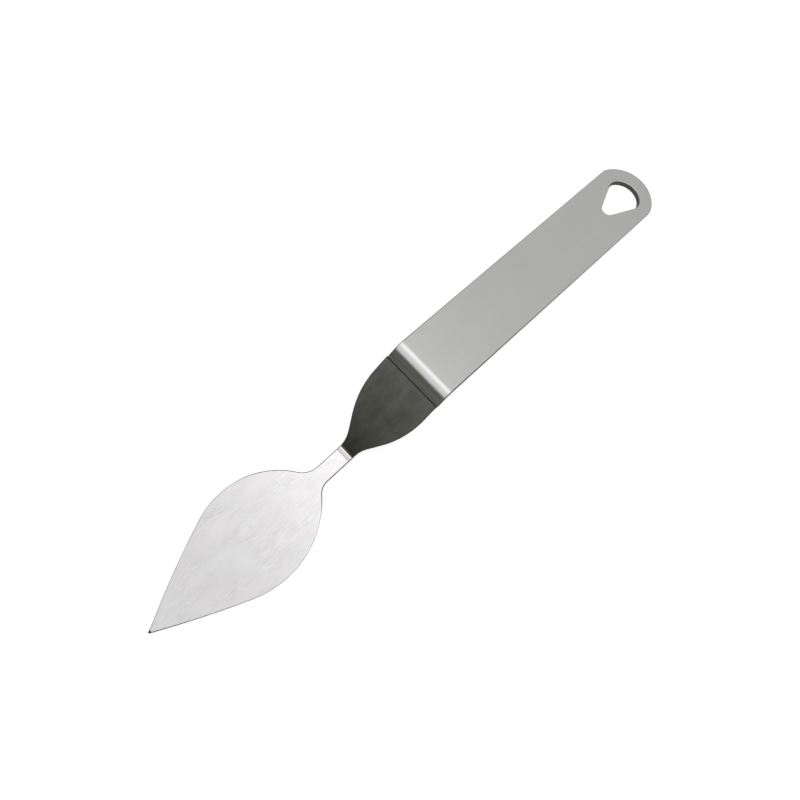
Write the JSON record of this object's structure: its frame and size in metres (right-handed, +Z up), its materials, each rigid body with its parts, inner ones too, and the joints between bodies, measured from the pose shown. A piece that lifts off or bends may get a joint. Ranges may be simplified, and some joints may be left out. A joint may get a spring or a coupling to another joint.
{
  "type": "palette knife",
  "caption": "Cranked palette knife: a flat strap handle with a hanging hole, a steep crank and a leaf-shaped blade, two bent steel sheets spot welded on the crank.",
  "frame": {"origin": "under the middle of the knife's box, on the plane of the blade's flat underside", "axes": "+X along the knife towards the end of the handle, +Y to the blade's left side seen from the handle's end with +Z up, +Z square to the blade, on the side to which the handle is cranked"},
  "size_m": [0.201, 0.0312, 0.0186],
  "materials": {
    "handle_steel": "satin, fine matt grain, edges tumbled smooth",
    "blade_steel": "bright, brushed along its length, with faint heat and handling stains",
    "weld_metal": "fused weld nugget, rough"
  },
  "bodies": {
    "root": {"handle": "handle_steel", "blade": "blade_steel", "spot_weld_1": "weld_metal", "spot_weld_2": "weld_metal", "spot_weld_3": "weld_metal", "spot_weld_4": "weld_metal"}
  },
  "joints": []
}
